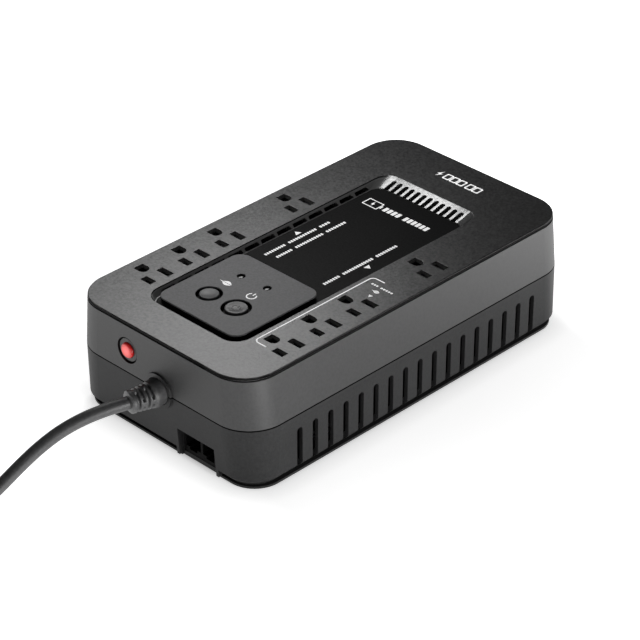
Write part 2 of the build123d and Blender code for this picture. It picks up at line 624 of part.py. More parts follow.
def tube(points, d):
    """Round tube along straight runs joined by arcs; prints its radii and checks its volume."""
    radii = corner_radii(points)
    path = FilletPolyline(*points, radius=radii)
    start = Plane(origin=path @ 0, z_dir=path % 0)
    solid = sweep(start * Circle(d / 2), path=path)
    ratio = solid.volume / (math.pi * d * d / 4 * path.length)
    print(f"tube d {d}: length {path.length:.1f}, volume ratio {ratio:.4f}, least radius {min(radii):.1f}")
    print("  radii " + " ".join(f"{r:.0f}" for r in radii))
    return solid


def cord_coil():
    """Outer shape of the put-away turns."""
    outer_r = COIL_MEAN_D / 2 + COIL_BAND / 2
    inner_r = COIL_MEAN_D / 2 - COIL_BAND / 2
    ring = Cylinder(outer_r, COIL_H) - Cylinder(inner_r, COIL_H + 2)
    return Pos(COIL_X, COIL_Y, COIL_H / 2) * ring


def plug_place():
    """Local frame of the plug: +Z points out of its face."""
    return Pos(CORD_END_ROUTE[-1][0], PLUG_Y, PLUG_Z) * Rot(90, 0, 0)


def plug_body():
    """Moulded plug with a rounded grip and a tapering tail."""
    tail = loft([Circle(CORD_D / 2 + 1.0), Pos(0, 0, PLUG_TAIL_L) * Circle(8.0)])
    grip = loft([
        Pos(0, 0, PLUG_TAIL_L - 0.5) * RectangleRounded(18.0, 16.0, 7.0),
        Pos(0, 0, PLUG_TAIL_L + 12.0) * RectangleRounded(25.0, 22.6, 8.0),
        Pos(0, 0, PLUG_TAIL_L + PLUG_BODY_L) * RectangleRounded(26.0, 22.8, 8.0),
    ])
    return plug_place() * (tail + grip)


def plug_blades():
    """Two flat blades, half an inch apart."""
    face = PLUG_TAIL_L + PLUG_BODY_L
    blades = []
    for side in (-1, 1):
        blade = Pos(side * BLADE_HALF_GAP, -3.0, face + BLADE_L / 2) * Box(BLADE_T, BLADE_W, BLADE_L)
        hole = Pos(side * BLADE_HALF_GAP, -3.0, face + BLADE_L - 4) * Rot(0, 90, 0) * Cylinder(1.55, 4)
        blades.append(plug_place() * (blade - hole))
    return blades


def plug_pin():
    """Round ground pin with a domed end."""
    face = PLUG_TAIL_L + PLUG_BODY_L
    pin = Pos(0, GROUND_OFFSET - 3.0, face + (PIN_L - PIN_D / 2) / 2) * Cylinder(PIN_D / 2, PIN_L - PIN_D / 2)
    dome = Pos(0, GROUND_OFFSET - 3.0, face + PIN_L - PIN_D / 2) * Sphere(PIN_D / 2)
    return plug_place() * (pin + dome)


def cord_tie():
    """Band round the turns of the coil."""
    w = COIL_BAND + 2 * TIE_T
    band = Box(w, TIE_W, COIL_H + TIE_T) - Box(COIL_BAND, 20, COIL_H - TIE_T)
    loop = Pos(0, 0, COIL_H / 2 + TIE_T / 2) * band
    return Pos(COIL_X, COIL_Y, 0) * Rot(0, 0, TIE_ANGLE) * Pos(COIL_MEAN_D / 2, 0, 0) * loop


# ---- build everything ------------------------------------------------------------------------
save("top_panel", top_panel())
save("upper_shell", upper_shell())
save("lower_case", lower_case())
save("centre_tray", centre_tray())
save("control_pad", control_pad())
save("battery_door", battery_door())
save("eco_button", button(ECO_XY, ECO_CAP_D))
save("power_button", button(POWER_XY, POWER_CAP_D))
save("eco_switch_plunger", plunger(ECO_XY))
save("power_switch_plunger", plunger(POWER_XY))
save("switch_housings", switch_housing(ECO_XY), switch_housing(POWER_XY))
save("control_board", control_board())
for name, (lx, ly) in LEDS.items():
    save(f"{name}_light_pipe", post(lx, ly, PANEL_BOARD_Z + BOARD_T + 1.2, LED_PIPE_Z, LED_PIPE_D))
save("lamp_chips", *[span(x - 1, x + 1, y - 1, y + 1, 64.0, 65.1) for x, y in LEDS.values()])
for row in OUTLET_ROWS:
    save(f"outlet_block_{row}", outlet_block(row))
    save(f"outlet_base_{row}", outlet_base(row))
    for conductor, shape in contact_strips(row):
        save(f"{conductor}_strip_{row}", shape)
save("main_board", main_board())
save("relays", *relays())
save("capacitors", *capacitors())
save("heat_sink", heat_sink())
save("power_transistors", *transistors())
save("surge_discs", *surge_discs())
save("line_choke", choke())
save("buzzer", post(20.0, -15.6, BOARD_Z + BOARD_T, 63.0, 9.0))
save("transformer_core", transformer_core())
save("transformer_windings", transformer_windings())
save("transformer_bracket", transformer_bracket())
save("battery", battery_case())
save("battery_tabs", *battery_tabs())
save("ribbon_cable", ribbon_cable())
for lead, route in LEADS.items():
    save(lead, tube(route, LEAD_D))
save("breaker_body", breaker_body())
save("breaker_reset_button", reset_button())
save("breaker_tabs", *breaker_tabs())
save("jack_module", jack_module())
save("jack_contacts", *jack_contacts())
save("rubber_feet", *[post(x, y, 0, 1.6, 11.6) for x, y in PAD_FEET])
save("case_screws", *[screw(x, y, 1.4, 3.4, 30.0, 6.0, 3.2) for x, y in CASE_SCREWS])
save("board_screws", *[screw(x, y, 51.2, 53.0, 61.0, 5.4, 2.4) for x, y in BOARD_POSTS])
save("panel_screws", *[screw(x, y, 61.2, 62.4, 67.0, 4.2, 1.8) for x, y in PANEL_POSTS])
save("strain_relief", strain_relief())
save("power_cord", tube(CORD_ROUTE, CORD_D))
save("cord_coil", cord_coil() - cord_tie())
save("cord_tie", cord_tie())
save("cord_end", tube(CORD_END_ROUTE, CORD_D))
save("plug_body", plug_body())
save("plug_blades", *plug_blades())
save("plug_ground_pin", plug_pin())
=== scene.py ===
"""Looks of the uninterruptible power supply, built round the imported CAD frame.

Shapes are given in millimetres and turned into metres where meshes are made. Shader masks, lights and the
camera are in metres throughout.
"""
import math

import bpy
from mathutils import Matrix, Vector


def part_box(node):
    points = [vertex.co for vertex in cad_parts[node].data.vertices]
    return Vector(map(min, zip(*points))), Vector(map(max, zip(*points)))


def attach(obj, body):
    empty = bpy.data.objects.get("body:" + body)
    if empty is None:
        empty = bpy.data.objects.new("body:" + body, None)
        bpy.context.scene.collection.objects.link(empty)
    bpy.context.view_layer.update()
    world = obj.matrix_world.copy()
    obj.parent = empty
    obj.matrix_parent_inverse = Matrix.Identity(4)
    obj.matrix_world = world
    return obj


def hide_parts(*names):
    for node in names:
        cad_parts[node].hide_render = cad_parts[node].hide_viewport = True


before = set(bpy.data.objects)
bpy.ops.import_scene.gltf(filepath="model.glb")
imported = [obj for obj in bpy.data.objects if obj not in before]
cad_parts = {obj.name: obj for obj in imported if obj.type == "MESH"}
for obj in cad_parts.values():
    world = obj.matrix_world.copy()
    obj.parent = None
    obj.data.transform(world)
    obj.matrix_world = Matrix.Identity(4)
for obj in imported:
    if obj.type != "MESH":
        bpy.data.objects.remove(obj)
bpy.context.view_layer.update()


def smoothstep(x):
    """Eased run from 0 to 1."""
    x = max(0.0, min(1.0, x))
    return x * x * (3 - 2 * x)


def node_box(name):
    """Lowest corner, highest corner and middle of a CAD node, in millimetres to a hundredth."""
    low, high = ([c / MM for c in corner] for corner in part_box(name))
    middle = [(a + b) / 2 for a, b in zip(low, high)]
    return [[round(c, 2) for c in corner] for corner in (low, high, middle)]


MM = 0.001

# ---- camera ----------------------------------------------------------------------------------
AZIMUTH, ELEVATION, ROLL = 225.29, 32.14, -0.504
DISTANCE = 1.5721
AIM_RIGHT, AIM_UP = -0.00376, 0.02125
LENS, SENSOR = 151.5, 36.0


def add_camera():
    """Long lens at the photographed angle, with the target given in the view's own axes."""
    az, el, roll = (math.radians(a) for a in (AZIMUTH, ELEVATION, ROLL))
    back = Vector((math.sin(az) * math.cos(el), -math.cos(az) * math.cos(el), math.sin(el)))
    right = Vector((math.cos(az), math.sin(az), 0.0))
    up = back.cross(right)
    right, up = right * math.cos(roll) + up * math.sin(roll), up * math.cos(roll) - right * math.sin(roll)
    data = bpy.data.cameras.new("camera")
    data.lens, data.sensor_width = LENS, SENSOR
    data.clip_start, data.clip_end = 0.05, 30.0
    cam = bpy.data.objects.new("camera", data)
    bpy.context.scene.collection.objects.link(cam)
    axes = Matrix((right, up, back)).transposed()
    cam.matrix_world = Matrix.Translation(right * AIM_RIGHT + up * AIM_UP + back * DISTANCE) @ axes.to_4x4()
    bpy.context.scene.camera = cam


add_camera()

# ---- the cord --------------------------------------------------------------------------------
CORD_D = 7.5
CORD_X, CORD_Z = -1.8, 39.4
CORD_ROUTE = [
    (CORD_X, 136.0, CORD_Z), (0.2, 149.0, 39.6), (4.6, 162.0, 39.2), (9.4, 175.0, 37.2), (14.0, 187.5, 33.0),
    (17.8, 199.5, 26.8), (20.6, 211.5, 19.4), (22.2, 224.0, 12.0), (22.6, 236.5, 6.6), (20.2, 249.0, 3.9),
    (15.2, 260.8, 3.75), (8.2, 272.0, 3.75), (-1.0, 281.6, 3.75), (-11.2, 290.2, 3.75),
    (-20.4, 299.8, 3.75), (-27.8, 312.0, 3.75), (-33.0, 326.5, 3.75),
]
COIL_X, COIL_Y = 14.0, 344.0
COIL_RADII = [(49.5, 3.75), (42.0, 3.75), (34.5, 3.75), (34.5, 11.25), (42.0, 11.25), (49.5, 11.25)]
POINTS_PER_TURN, CROSSOVER = 16, 0.25      # the cord changes rings in the last quarter of each turn
CORD_END_ROUTE = [(63.4, 341.0, 11.25), (63.7, 327.0, 11.3), (64.6, 313.0, 11.6)]


def coil_points():
    """Turns of the put-away coil, clockwise from above, as control points of the cord's own spline."""
    spread = 1.0 / math.cos(math.pi / POINTS_PER_TURN)
    points = []
    steps = len(COIL_RADII) * POINTS_PER_TURN - POINTS_PER_TURN // 2
    for i in range(1, steps):
        turn = i / POINTS_PER_TURN
        k = min(int(turn), len(COIL_RADII) - 1)
        nxt = min(k + 1, len(COIL_RADII) - 1)
        blend = smoothstep((turn - k - 1 + CROSSOVER) / CROSSOVER)
        r = COIL_RADII[k][0] + (COIL_RADII[nxt][0] - COIL_RADII[k][0]) * blend
        z = COIL_RADII[k][1] + (COIL_RADII[nxt][1] - COIL_RADII[k][1]) * blend
        a = math.pi - 2 * math.pi * turn
        points.append((COIL_X + r * spread * math.cos(a), COIL_Y + r * spread * math.sin(a), z))
    return points


def add_cord():
    """The whole cord as one NURBS spline: the visible run, the coil and the run into the plug."""
    data = bpy.data.curves.new("mains_cord", "CURVE")
    data.dimensions = "3D"
    data.bevel_depth = CORD_D / 2 * MM
    data.bevel_resolution = 8
    data.use_fill_caps = True
    data.resolution_u = 8
    route = CORD_ROUTE + coil_points() + CORD_END_ROUTE
    spline = data.splines.new("NURBS")
    spline.points.add(len(route) - 1)
    for point, p in zip(spline.points, route):
        point.co = (p[0] * MM, p[1] * MM, p[2] * MM, 1.0)
    spline.order_u = 3
    spline.use_endpoint_u = True
    cord = bpy.data.objects.new("mains_cord", data)
    bpy.context.scene.collection.objects.link(cord)
    return cord


cord = add_cord()

# ---- materials -------------------------------------------------------------------------------
POLISH_MID_X, POLISH_HALF_W, SLOPE_ROUGH = 0.0046, 0.0339, 0.16
RECESS_HALF_W = 0.0385
DECK_CORNER_R = 0.022
DECK_SIDE, DECK_END, DECK_TOP = (c * MM for c in node_box("top_panel")[1])
# Painted light: the bare walls in the openings and in the recess are paler than the deck plastic, in place of
# soft light falling on them.
PAINTED_LIGHT_RECESS, PAINTED_LIGHT_OPENINGS = (0.10, 0.10, 0.10), (0.28, 0.28, 0.28)
# Painted shade finishes: base colour and specular level of the near-black recess sides, deck edge and seam.
SHADED_FINISH, EDGE_SHADE_FINISH = (0.006, 0.2), (0.002, 0.03)              # base colour and specular level
# Each pair runs from no effect to the full one: depths below the deck, then distances.
BELOW_DECK, WALL_FADE, EDGE_FADE = (0.00001, 0.0001), (0.0004, 0.0008), (0.0002, 0.0005)
EDGE_BAND = (DECK_CORNER_R - 0.0009, DECK_CORNER_R - 0.0006)
SEAM_Z, SEAM_FADE = 0.0394, (0.00048, 0.00038)
# Painted highlight and glow on the reset button fade out over this distance from its middle.
RESET_HIGHLIGHT_FADE = (0.0008, 0.0046)


def new_material(name):
    """Empty node material with its Principled shader and output."""
    mat = bpy.data.materials.new(name)
    mat.use_nodes = True
    tree = mat.node_tree
    return mat, tree, tree.nodes["Principled BSDF"]


def noise(tree, coords, scale, detail=3.0, rough=0.5):
    """Noise texture in object space; scale is in features per metre."""
    node = tree.nodes.new("ShaderNodeTexNoise")
    node.inputs["Scale"].default_value = scale
    node.inputs["Detail"].default_value = detail
    node.inputs["Roughness"].default_value = rough
    tree.links.new(coords.outputs["Object"], node.inputs["Vector"])
    return node


def ramp(tree, source, stops):
    """Colour ramp from a texture's factor."""
    node = tree.nodes.new("ShaderNodeValToRGB")
    elements = node.color_ramp.elements
    while len(elements) < len(stops):
        elements.new(0.5)
    for element, (place, colour) in zip(elements, stops):
        element.position = place
        element.color = (*colour, 1.0)
    tree.links.new(source, node.inputs["Fac"])
    return node


def shade(colour, k):
    """Lighter or darker colour."""
    return tuple(min(1.0, c * k) for c in colour)


def bumps(tree, bsdf, layers):
    """Stack bump nodes, each from a height output, a strength and a depth in metres."""
    last = None
    for height, strength, depth in layers:
        bump = tree.nodes.new("ShaderNodeBump")
        bump.inputs["Strength"].default_value = strength
        bump.inputs["Distance"].default_value = depth
        tree.links.new(height, bump.inputs["Height"])
        if last is not None:
            tree.links.new(last.outputs["Normal"], bump.inputs["Normal"])
        last = bump
    tree.links.new(last.outputs["Normal"], bsdf.inputs["Normal"])


def textured_plastic(name, colour, rough, grain=1400.0, depth=0.00006, mottle=0.10, specular=0.5, relief=0.4):
    """Moulded plastic with a spark-eroded grain, slight mottling and uneven gloss."""
    mat, tree, bsdf = new_material(name)
    coords = tree.nodes.new("ShaderNodeTexCoord")
    cloud = noise(tree, coords, scale=38.0, detail=4.0, rough=0.6)
    fine = noise(tree, coords, scale=grain, detail=2.0, rough=0.55)
    speck = noise(tree, coords, scale=grain * 0.42, detail=3.0, rough=0.6)
    darker, lighter = shade(colour, 1 - mottle), shade(colour, 1 + mottle)
    tone = ramp(tree, cloud.outputs["Fac"], [(0.3, darker), (0.7, lighter)])
    mix = tree.nodes.new("ShaderNodeMix")
    mix.data_type = "RGBA"
    mix.blend_type = "OVERLAY"
    mix.inputs["Factor"].default_value = 0.35
    tree.links.new(tone.outputs["Color"], mix.inputs["A"])
    tree.links.new(speck.outputs["Fac"], mix.inputs["B"])
    tree.links.new(mix.outputs["Result"], bsdf.inputs["Base Color"])
    gloss = ramp(tree, speck.outputs["Fac"], [(0.25, (rough - 0.05,) * 3), (0.75, (rough + 0.06,) * 3)])
    tree.links.new(gloss.outputs["Color"], bsdf.inputs["Roughness"])
    bsdf.inputs["Specular IOR Level"].default_value = specular
    low, high = specular * (1 - 0.3 * relief), specular * (1 + 0.27 * relief)
    sheen = ramp(tree, speck.outputs["Fac"], [(0.3, (low,) * 3), (0.7, (high,) * 3)])
    tree.links.new(sheen.outputs["Color"], bsdf.inputs["Specular IOR Level"])
    bumps(tree, bsdf, [(fine.outputs["Fac"], 0.4, depth), (speck.outputs["Fac"], 0.7 * relief, depth * 2.0)])
    return mat


def smooth_plastic(name, colour, rough, mottle=0.06, specular=0.5):
    """Satin or glossy plastic with faint unevenness and hairline scuffs."""
    mat, tree, bsdf = new_material(name)
    coords = tree.nodes.new("ShaderNodeTexCoord")
    cloud = noise(tree, coords, scale=60.0, detail=4.0, rough=0.6)
    fine = noise(tree, coords, scale=900.0, detail=2.0, rough=0.5)
    darker, lighter = shade(colour, 1 - mottle), shade(colour, 1 + mottle)
    tone = ramp(tree, cloud.outputs["Fac"], [(0.3, darker), (0.7, lighter)])
    tree.links.new(tone.outputs["Color"], bsdf.inputs["Base Color"])
    gloss = ramp(tree, fine.outputs["Fac"], [(0.3, (rough * 0.85,) * 3), (0.7, (rough * 1.2,) * 3)])
    tree.links.new(gloss.outputs["Color"], bsdf.inputs["Roughness"])
    bsdf.inputs["Specular IOR Level"].default_value = specular
    bumps(tree, bsdf, [(fine.outputs["Fac"], 0.12, 0.00005)])
    return mat


def metal(name, colour, rough, grain_axis=(1.0, 1.0, 1.0)):
    """Metal with a drawn grain; grain_axis squeezes the noise along the drawing direction."""
    mat, tree, bsdf = new_material(name)
    coords = tree.nodes.new("ShaderNodeTexCoord")
    mapping = tree.nodes.new("ShaderNodeMapping")
    mapping.inputs["Scale"].default_value = grain_axis
    tree.links.new(coords.outputs["Object"], mapping.inputs["Vector"])
    streak = tree.nodes.new("ShaderNodeTexNoise")
    streak.inputs["Scale"].default_value = 900.0
    tree.links.new(mapping.outputs["Vector"], streak.inputs["Vector"])
    tone = ramp(tree, streak.outputs["Fac"], [(0.3, shade(colour, 0.86)), (0.7, shade(colour, 1.08))])
    gloss = ramp(tree, streak.outputs["Fac"], [(0.3, (rough * 0.8,) * 3), (0.7, (rough * 1.25,) * 3)])
    tree.links.new(tone.outputs["Color"], bsdf.inputs["Base Color"])
    tree.links.new(gloss.outputs["Color"], bsdf.inputs["Roughness"])
    bsdf.inputs["Metallic"].default_value = 1.0
    bumps(tree, bsdf, [(streak.outputs["Fac"], 0.15, 0.00003)])
    return mat


def node_math(tree, operation, value, operand=None):
    """Math node on one socket, with a plain number or another socket as its second operand."""
    node = tree.nodes.new("ShaderNodeMath")
    node.operation = operation
    tree.links.new(value, node.inputs[0])
    if isinstance(operand, bpy.types.NodeSocket):
        tree.links.new(operand, node.inputs[1])
    elif operand is not None:
        node.inputs[1].default_value = operand
    return node.outputs["Value"]


def node_step(tree, value, start, end, low=0.0, high=1.0):
    """Runs from the low value at start to the high one at end, and stays level beyond them."""
    node = tree.nodes.new("ShaderNodeMapRange")
    for name, number in (("From Min", start), ("From Max", end), ("To Min", low), ("To Max", high)):
        node.inputs[name].default_value = number
    tree.links.new(value, node.inputs["Value"])
    return node.outputs["Result"]


def split_axes(tree, coords, space="Object"):
    """The three coordinates of a space as separate sockets."""
    axes = tree.nodes.new("ShaderNodeSeparateXYZ")
    tree.links.new(coords.outputs[space], axes.inputs["Vector"])
    return axes.outputs


def rectangle_distance(tree, axes, half_w, half_l):
    """Distance in plan from a centred rectangle, so that its level lines are rounded rectangles."""
    apart = tree.nodes.new("ShaderNodeCombineXYZ")
    for axis, half in (("X", half_w), ("Y", half_l)):
        past = node_math(tree, "SUBTRACT", node_math(tree, "ABSOLUTE", axes[axis]), half)
        tree.links.new(node_math(tree, "MAXIMUM", past, 0.0), apart.inputs[axis])
    distance = tree.nodes.new("ShaderNodeVectorMath")
    distance.operation = "LENGTH"
    tree.links.new(apart.outputs["Vector"], distance.inputs[0])
    return distance.outputs["Value"]


def blend_input(tree, bsdf, name, mask, value):
    """Turn an input of the shader towards a colour or a number where the mask is 1."""
    mix = tree.nodes.new("ShaderNodeMix")
    if isinstance(value, tuple):
        mix.data_type = "RGBA"
        value = (*value, 1.0)
    target = bsdf.inputs[name]
    if target.links:
        tree.links.new(target.links[0].from_socket, mix.inputs["A"])
    else:
        mix.inputs["A"].default_value = target.default_value
    mix.inputs["B"].default_value = value
    tree.links.new(mask, mix.inputs["Factor"])
    tree.links.new(mix.outputs["Result"], target)


def darken(tree, bsdf, mask, finish):
    """Painted shade: near-black, dull finish where the mask is 1."""
    base, specular = finish
    blend_input(tree, bsdf, "Base Color", mask, (base, base, base))
    blend_input(tree, bsdf, "Specular IOR Level", mask, specular)


def finish_deck(mat):
    """Deck walls: polished slope at the grille, painted light on the bare walls in the openings, painted
    shade on the recess sides and a painted dark shade line on the outer edge.
    """
    tree = mat.node_tree
    bsdf = tree.nodes["Principled BSDF"]
    axes = split_axes(tree, tree.nodes.new("ShaderNodeTexCoord"))
    from_middle = node_math(tree, "ABSOLUTE", node_math(tree, "SUBTRACT", axes["X"], POLISH_MID_X))
    in_polish = node_math(tree, "LESS_THAN", from_middle, POLISH_HALF_W)
    in_recess = node_math(tree, "LESS_THAN", node_math(tree, "ABSOLUTE", axes["X"]), RECESS_HALF_W)
    depth = node_math(tree, "ABSOLUTE", node_math(tree, "SUBTRACT", axes["Z"], DECK_TOP))
    below_deck = node_step(tree, depth, *BELOW_DECK)
    polish = node_math(tree, "MULTIPLY", below_deck, in_polish)
    blend_input(tree, bsdf, "Roughness", polish, SLOPE_ROUGH)
    rough = node_step(tree, polish, 1.0, 0.0)
    for bump in [node for node in tree.nodes if node.type == "BUMP"]:
        strength = bump.inputs["Strength"]
        tree.links.new(node_math(tree, "MULTIPLY", rough, strength.default_value), strength)
    # Painted light: walls below the deck are painted paler, less so inside the recess.
    wall = node_step(tree, depth, *WALL_FADE)
    blend_input(tree, bsdf, "Base Color", wall, PAINTED_LIGHT_OPENINGS)
    blend_input(tree, bsdf, "Base Color", node_math(tree, "MULTIPLY", wall, in_recess), PAINTED_LIGHT_RECESS)
    # Painted shade on the recess sides away from the polished slope.
    recess_side = node_math(tree, "MULTIPLY", below_deck, in_recess)
    shaded = node_math(tree, "MULTIPLY", recess_side, node_step(tree, in_polish, 1.0, 0.0))
    darken(tree, bsdf, shaded, SHADED_FINISH)
    # Painted shade on the deck's outer wall, so that it reads as a single dark groove line.
    distance = rectangle_distance(tree, axes, DECK_SIDE - DECK_CORNER_R, DECK_END - DECK_CORNER_R)
    outside = node_step(tree, distance, *EDGE_BAND)
    edge = node_math(tree, "MULTIPLY", node_step(tree, depth, *EDGE_FADE), outside)
    darken(tree, bsdf, edge, EDGE_SHADE_FINISH)


def paint_seam_shade(mat):
    """Painted shade: dark edges along the seam between the upper and lower case."""
    tree = mat.node_tree
    axes = split_axes(tree, tree.nodes.new("ShaderNodeTexCoord"))
    off = node_math(tree, "ABSOLUTE", node_math(tree, "SUBTRACT", axes["Z"], SEAM_Z))
    darken(tree, tree.nodes["Principled BSDF"], node_step(tree, off, *SEAM_FADE), EDGE_SHADE_FINISH)


def red_painted_highlight():
    """Reset button: red plastic with a painted highlight and glow, lightest and glowing most about its axis.
    """
    mat, tree, bsdf = new_material("reset_red")
    high, middle = node_box("breaker_reset_button")[1:]
    coords = tree.nodes.new("ShaderNodeTexCoord")
    centre = tree.nodes.new("ShaderNodeVectorMath")
    centre.operation = "DISTANCE"
    centre.inputs[1].default_value = [c * MM for c in (middle[0], high[1], middle[2])]
    tree.links.new(coords.outputs["Object"], centre.inputs[0])
    away = node_step(tree, centre.outputs["Value"], *RESET_HIGHLIGHT_FADE)
    # Painted highlight and glow: lighter red and emission near the axis.
    tone = ramp(tree, away, [(0.0, (0.95, 0.10, 0.09)), (1.0, (0.55, 0.02, 0.018))])
    glow = ramp(tree, away, [(0.0, (0.42, 0.085, 0.085)), (1.0, (0.05, 0.0, 0.0))])
    fine = noise(tree, coords, scale=900.0, detail=2.0, rough=0.5)
    tree.links.new(tone.outputs["Color"], bsdf.inputs["Base Color"])
    tree.links.new(glow.outputs["Color"], bsdf.inputs["Emission Color"])
    bsdf.inputs["Emission Strength"].default_value = 1.0
    bsdf.inputs["Roughness"].default_value = 0.3
    bumps(tree, bsdf, [(fine.outputs["Fac"], 0.12, 0.00005)])
    return mat


def painted_glow_ink():
    """Opaque white print with a painted glow, so that it stays bright under the dark sky of the studio."""
    mat = smooth_plastic("painted_glow_ink", (0.94, 0.94, 0.94), 0.5, mottle=0.03)
    bsdf = mat.node_tree.nodes["Principled BSDF"]
    # Painted glow: the print emits light of its own.
    bsdf.inputs["Emission Color"].default_value = (1.0, 1.0, 1.0, 1.0)
    bsdf.inputs["Emission Strength"].default_value = 0.45
    return mat


DECK = textured_plastic("deck_plastic", (0.0132, 0.0132, 0.0135), 0.41, specular=0.86, relief=1.3)
CASE = textured_plastic("case_plastic", (0.0125, 0.0125, 0.0128), 0.54, specular=0.62)
LOWER = textured_plastic("lower_plastic", (0.018, 0.018, 0.0184), 0.48, specular=0.18)
# The deck gets painted light on its walls and painted shade on its recess sides and outer edge.
finish_deck(DECK)
# Painted shade along the seam on both case parts.
paint_seam_shade(CASE)
paint_seam_shade(LOWER)
PAD = textured_plastic("pad_plastic", (0.20, 0.20, 0.205), 0.44, grain=1800.0, mottle=0.04, specular=0.15)
LABEL = smooth_plastic("label_black", (0.010, 0.010, 0.0102), 0.5, specular=0.05)
BLACK = smooth_plastic("black_plastic", (0.008, 0.008, 0.008), 0.42)
CAP = smooth_plastic("cap_plastic", (0.072, 0.072, 0.074), 0.36, specular=0.30)
RED = smooth_plastic("red_plastic", (0.72, 0.035, 0.03), 0.32)
RESET = red_painted_highlight()
JACK = smooth_plastic("jack_plastic", (0.005, 0.005, 0.005), 0.6, specular=0.06)
LENS = smooth_plastic("lamp_lens", (0.004, 0.005, 0.004), 0.07)
DARK_INK = smooth_plastic("dark_ink", (0.02, 0.02, 0.02), 0.5)
STICKER = smooth_plastic("sticker_film", (0.55, 0.55, 0.56), 0.38)
CORD_PVC = textured_plastic("cord_pvc", (0.052, 0.052, 0.053), 0.48, grain=1100.0, depth=0.00003,
                            specular=0.7)
RUBBER = textured_plastic("rubber", (0.018, 0.018, 0.018), 0.75, grain=900.0)
BOARD = smooth_plastic("board_mask", (0.010, 0.075, 0.030), 0.30, mottle=0.2)
BRASS = metal("contact_brass", (0.72, 0.55, 0.28), 0.28, (1.0, 6.0, 1.0))
STEEL = metal("plated_steel", (0.55, 0.55, 0.54), 0.32, (1.0, 1.0, 5.0))
ALUMINIUM = metal("aluminium", (0.70, 0.70, 0.71), 0.34, (1.0, 1.0, 8.0))
COPPER = metal("copper_wire", (0.55, 0.22, 0.09), 0.30, (1.0, 1.0, 9.0))
CORE = metal("core_steel", (0.16, 0.16, 0.17), 0.50, (1.0, 9.0, 1.0))
CERAMIC = smooth_plastic("disc_coating", (0.42, 0.13, 0.02), 0.35)
BATTERY = textured_plastic("battery_case", (0.040, 0.040, 0.043), 0.5)
WIRE = smooth_plastic("wire_grey", (0.42, 0.42, 0.42), 0.4)
INK = painted_glow_ink()
CLEAR = smooth_plastic("light_pipe", (0.02, 0.03, 0.022), 0.12)

NODE_MATERIALS = {
    "top_panel": DECK, "upper_shell": CASE, "lower_case": LOWER, "battery_door": LOWER, "control_pad": PAD,
    "centre_tray": LABEL, "eco_button": CAP, "power_button": CAP, "breaker_reset_button": RESET,
    "jack_module": JACK, "eco_light_pipe": CLEAR, "power_light_pipe": CLEAR, "lamp_chips": CLEAR,
    "control_board": BOARD, "main_board": BOARD, "heat_sink": ALUMINIUM, "surge_discs": CERAMIC,
    "line_choke": COPPER, "transformer_core": CORE, "transformer_windings": COPPER,
    "transformer_bracket": STEEL, "battery": BATTERY, "battery_tabs": BRASS, "breaker_tabs": BRASS,
    "jack_contacts": BRASS, "rubber_feet": RUBBER, "case_screws": STEEL, "board_screws": STEEL,
    "panel_screws": STEEL, "strain_relief": CORD_PVC, "plug_body": CORD_PVC, "plug_blades": BRASS,
    "plug_ground_pin": BRASS, "cord_tie": RUBBER, "ribbon_cable": WIRE, "neutral_lead": WIRE,
    "battery_lead_red": RED,
}


def paint_nodes():
    """Give every CAD node its material; what isn't named is black plastic or a contact strip."""
    for name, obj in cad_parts.items():
        mat = NODE_MATERIALS.get(name, BRASS if "_strip_" in name else BLACK)
        obj.data.materials.clear()
        obj.data.materials.append(mat)


paint_nodes()


# ---- helpers for new pieces ------------------------------------------------------------------
def add_piece(name, material, verts, faces, body="case", smooth=False):
    """Mesh from points in millimetres; it moves with a CAD body."""
    mesh = bpy.data.meshes.new(name)
    mesh.from_pydata([tuple(c * MM for c in v) for v in verts], [], faces)
    mesh.materials.append(material)
    for polygon in mesh.polygons:
        polygon.use_smooth = smooth
    obj = bpy.data.objects.new(name, mesh)
    bpy.context.scene.collection.objects.link(obj)
    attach(obj, body)
    return obj


def add_print(name, material, outlines, height, thick=0.03, body="case"):
    """Printed shapes: thin prisms on a surface whose height is given by a function of x and y."""
    verts, faces = [], []
    for outline in outlines:
        n, first = len(outline), len(verts)
        verts += [(x, y, height(x, y) - thick) for x, y in outline]
        verts += [(x, y, height(x, y) + thick) for x, y in outline]
        faces.append([first + n + i for i in range(n)])
        faces.append([first + i for i in reversed(range(n))])
        faces += [(first + i, first + (i + 1) % n, first + n + (i + 1) % n, first + n + i) for i in range(n)]
    return add_piece(name, material, verts, faces, body)


def level(z):
    """Height function of a flat surface."""
    return lambda x, y: z


def bar(x0, x1, y0, y1, round_off=0.25):
    """Rectangle with its corners cut, as a short printed bar."""
    r = min(round_off, (x1 - x0) / 2.5, (y1 - y0) / 2.5)
    return [(x0 + r, y0), (x1 - r, y0), (x1, y0 + r), (x1, y1 - r),
            (x1 - r, y1), (x0 + r, y1), (x0, y1 - r), (x0, y0 + r)]


def arc(cx, cy, r, start, end, steps):
    """Points on an arc, angles in degrees."""
    turns = (math.radians(start + (end - start) * i / steps) for i in range(steps + 1))
    return [(cx + r * math.cos(a), cy + r * math.sin(a)) for a in turns]


def ribbon(path, width):
    """Quads of even width along an open path."""
    quads = []
    sides = []
    for i, (x, y) in enumerate(path):
        ax, ay = path[max(i - 1, 0)]
        bx, by = path[min(i + 1, len(path) - 1)]
        run = math.hypot(bx - ax, by - ay)
        nx, ny = (ay - by) / run * width / 2, (bx - ax) / run * width / 2
        sides.append(((x + nx, y + ny), (x - nx, y - ny)))
    for (l0, r0), (l1, r1) in zip(sides, sides[1:]):
        quads.append([l1, l0, r0, r1])
    return quads


def turned(points, cx, cy, angle, size=1.0):
    """Outline drawn about the origin, scaled, turned by an angle in degrees and moved."""
    c, s = math.cos(math.radians(angle)) * size, math.sin(math.radians(angle)) * size
    return [(cx + x * c - y * s, cy + x * s + y * c) for x, y in points]


